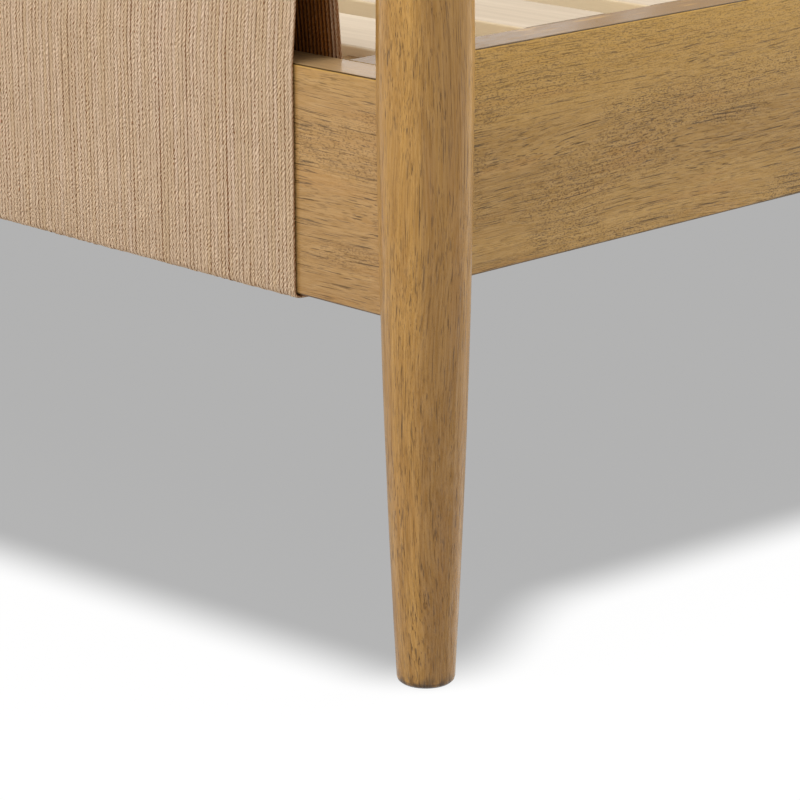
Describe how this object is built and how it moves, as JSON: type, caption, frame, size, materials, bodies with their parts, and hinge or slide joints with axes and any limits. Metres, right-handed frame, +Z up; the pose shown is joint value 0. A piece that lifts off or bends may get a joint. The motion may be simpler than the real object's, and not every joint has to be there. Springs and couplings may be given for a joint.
{
  "type": "rope bed",
  "caption": "Wooden slatted bed frame with turned round posts and cord wound over the rails of its foot and head ends.",
  "frame": {"origin": "on the floor, under the middle of the bed", "axes": "+Z up, +Y from the foot end to the head end, +X to the right seen from the foot end"},
  "size_m": [1.7892, 2.1496, 1.1],
  "materials": {
    "stained_wood": "honey brown stain, satin lacquer",
    "pine": "bare planed pine",
    "dowel_wood": "bare beech",
    "cord": "twisted paper cord, matt",
    "strap": "woven webbing",
    "steel": "zinc plated",
    "glide": "moulded plastic"
  },
  "bodies": {
    "root": {"foot_post_left": "stained_wood", "foot_post_right": "stained_wood", "head_post_left": "stained_wood", "head_post_right": "stained_wood", "foot_bottom_rail": "stained_wood", "foot_top_rail": "stained_wood", "head_bottom_rail": "stained_wood", "head_top_rail": "stained_wood", "side_rail_left": "stained_wood", "side_rail_right": "stained_wood", "corner_block_foot_left": "stained_wood", "corner_block_foot_right": "stained_wood", "corner_block_head_left": "stained_wood", "corner_block_head_right": "stained_wood", "centre_leg_foot": "stained_wood", "centre_leg_head": "stained_wood", "foot_dowels": "dowel_wood", "head_dowels": "dowel_wood", "foot_cord_wrap": "cord", "foot_cord_turns": "cord", "head_cord_wrap": "cord", "head_cord_turns": "cord", "hook_plates": "steel", "hook_plate_screws": "steel", "receiver_plates": "steel", "receiver_screws": "steel", "ledger_screws": "steel", "block_screws": "steel", "slat_screws": "steel", "strap_screws": "steel", "beam_hanger_foot": "steel", "beam_hanger_head": "steel", "hanger_screws": "steel", "leg_bolts": "steel", "slat_ledger_left": "pine", "slat_ledger_right": "pine", "centre_beam": "pine", "slat_01": "pine", "slat_02": "pine", "slat_03": "pine", "slat_04": "pine", "slat_05": "pine", "slat_06": "pine", "slat_07": "pine", "slat_08": "pine", "slat_09": "pine", "slat_10": "pine", "slat_11": "pine", "slat_12": "pine", "slat_13": "pine", "slat_14": "pine", "slat_15": "pine", "slat_strap_left": "strap", "slat_strap_right": "strap", "leg_glides": "glide", "post_glides": "glide"}
  },
  "joints": []
}
